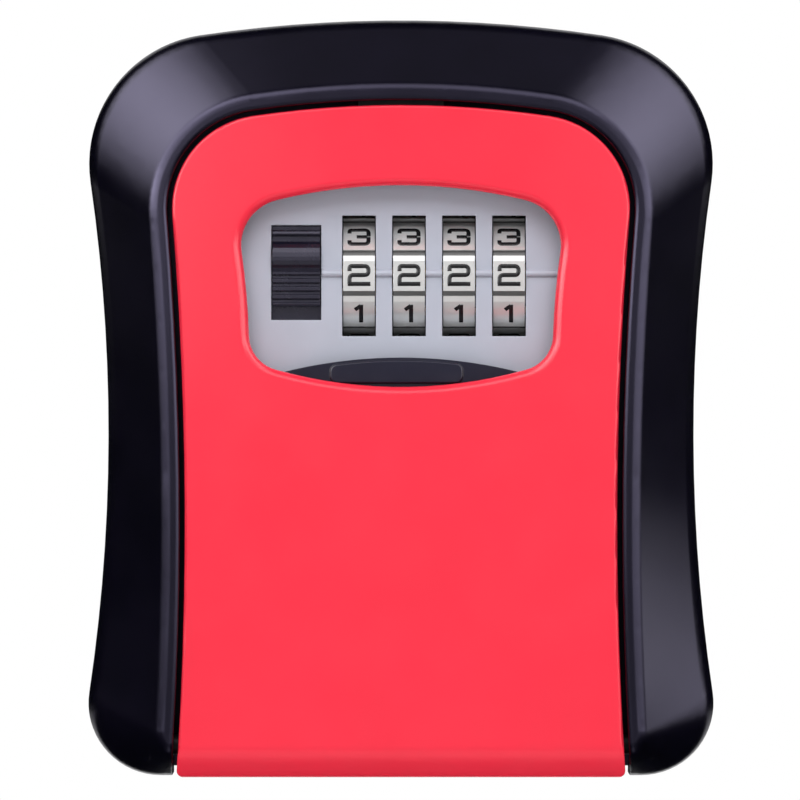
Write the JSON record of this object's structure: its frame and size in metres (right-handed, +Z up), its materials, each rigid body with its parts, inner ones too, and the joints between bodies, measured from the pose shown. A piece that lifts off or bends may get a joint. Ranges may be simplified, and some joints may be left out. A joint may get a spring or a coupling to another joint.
{
  "type": "key lock box",
  "caption": "Wall-mounted key lock box: black cast body, red drop-down front door with a number-wheel lock, sliding dial shutter and thumb slide.",
  "frame": {"origin": "middle of the flat back, which is also the middle of the four screw holes", "axes": "+X to the right and +Z up as the front is seen, +Y into the wall"},
  "size_m": [0.095, 0.04, 0.115],
  "materials": {
    "black_coat": "satin black powder coat on die casting",
    "red_coat": "satin red paint on die casting",
    "grey_plate": "moulded silver-grey plastic",
    "nickel": "satin nickel plating",
    "digit_ink": "black pad-printed ink",
    "steel": "drawn steel",
    "black_steel": "blackened steel",
    "zinc_plate": "zinc-plated stamping",
    "spring_steel": "spring steel",
    "screw_steel": "plated screws",
    "brass": "turned brass",
    "slate_plastic": "dark slate plastic",
    "slider_plastic": "black moulded plastic",
    "black_plastic": "black moulded plastic",
    "cover_plastic": "textured black plastic"
  },
  "bodies": {
    "body": {"housing": "black_coat", "hinge_pin_left": "black_steel", "hinge_pin_right": "black_steel"},
    "door": {"door_panel": "red_coat", "face_plate": "grey_plate", "shutter_track": "black_plastic", "lock_chassis": "zinc_plate", "lock_cover": "cover_plastic", "detent_spring": "spring_steel", "cover_screws": "screw_steel", "latch_spring_left": "spring_steel", "latch_spring_right": "spring_steel", "reset_spring": "spring_steel"},
    "shutter": {"shutter": "slate_plastic"},
    "latch": {"latch_plate": "black_steel", "open_slider": "slider_plastic", "slider_screw": "screw_steel"},
    "reset": {"wheel_shaft": "steel", "reset_lever": "black_plastic"},
    "wheel_1": {"number_wheel_1": "nickel"},
    "cam_1": {"wheel_cam_1": "brass"},
    "wheel_2": {"number_wheel_2": "nickel"},
    "cam_2": {"wheel_cam_2": "brass"},
    "wheel_3": {"number_wheel_3": "nickel"},
    "cam_3": {"wheel_cam_3": "brass"},
    "wheel_4": {"number_wheel_4": "nickel"},
    "cam_4": {"wheel_cam_4": "brass"}
  },
  "joints": [
    {"name": "door_hinge", "type": "hinge", "parent": "body", "child": "door", "pos_m": [0, -0.0343, -0.0525], "axis": [1, 0, 0], "range_deg": [0, 100]},
    {"name": "shutter_slide", "type": "slide", "parent": "door", "child": "shutter", "axis": [0, 0, 1], "range_m": [0, 0.027]},
    {"name": "open_slide", "type": "slide", "parent": "door", "child": "latch", "axis": [0, 0, -1], "range_m": [0, 0.002], "stiffness_N_per_m": 300, "springref_m": -0.003, "deforming": ["latch_spring_left", "latch_spring_right"]},
    {"name": "reset_slide", "type": "slide", "parent": "door", "child": "reset", "axis": [1, 0, 0], "range_m": [0, 0.0015], "stiffness_N_per_m": 300, "springref_m": -0.002, "deforming": ["reset_spring"]},
    {"name": "wheel_1_spin", "type": "hinge", "parent": "door", "child": "wheel_1", "pos_m": [-0.00637, -0.0249, 0.0186], "axis": [1, 0, 0], "continuous": true},
    {"name": "cam_1_spin", "type": "hinge", "parent": "reset", "child": "cam_1", "pos_m": [-0.00637, -0.0249, 0.0186], "axis": [1, 0, 0], "continuous": true},
    {"name": "wheel_2_spin", "type": "hinge", "parent": "door", "child": "wheel_2", "pos_m": [0.00122, -0.0249, 0.0186], "axis": [1, 0, 0], "continuous": true},
    {"name": "cam_2_spin", "type": "hinge", "parent": "reset", "child": "cam_2", "pos_m": [0.00122, -0.0249, 0.0186], "axis": [1, 0, 0], "continuous": true},
    {"name": "wheel_3_spin", "type": "hinge", "parent": "door", "child": "wheel_3", "pos_m": [0.00881, -0.0249, 0.0186], "axis": [1, 0, 0], "continuous": true},
    {"name": "cam_3_spin", "type": "hinge", "parent": "reset", "child": "cam_3", "pos_m": [0.00881, -0.0249, 0.0186], "axis": [1, 0, 0], "continuous": true},
    {"name": "wheel_4_spin", "type": "hinge", "parent": "door", "child": "wheel_4", "pos_m": [0.0164, -0.0249, 0.0186], "axis": [1, 0, 0], "continuous": true},
    {"name": "cam_4_spin", "type": "hinge", "parent": "reset", "child": "cam_4", "pos_m": [0.0164, -0.0249, 0.0186], "axis": [1, 0, 0], "continuous": true}
  ],
  "couplings": [
    {"joint": "cam_1_spin", "follows": "wheel_1_spin", "ratio": 1},
    {"joint": "cam_2_spin", "follows": "wheel_2_spin", "ratio": 1},
    {"joint": "cam_3_spin", "follows": "wheel_3_spin", "ratio": 1},
    {"joint": "cam_4_spin", "follows": "wheel_4_spin", "ratio": 1}
  ]
}
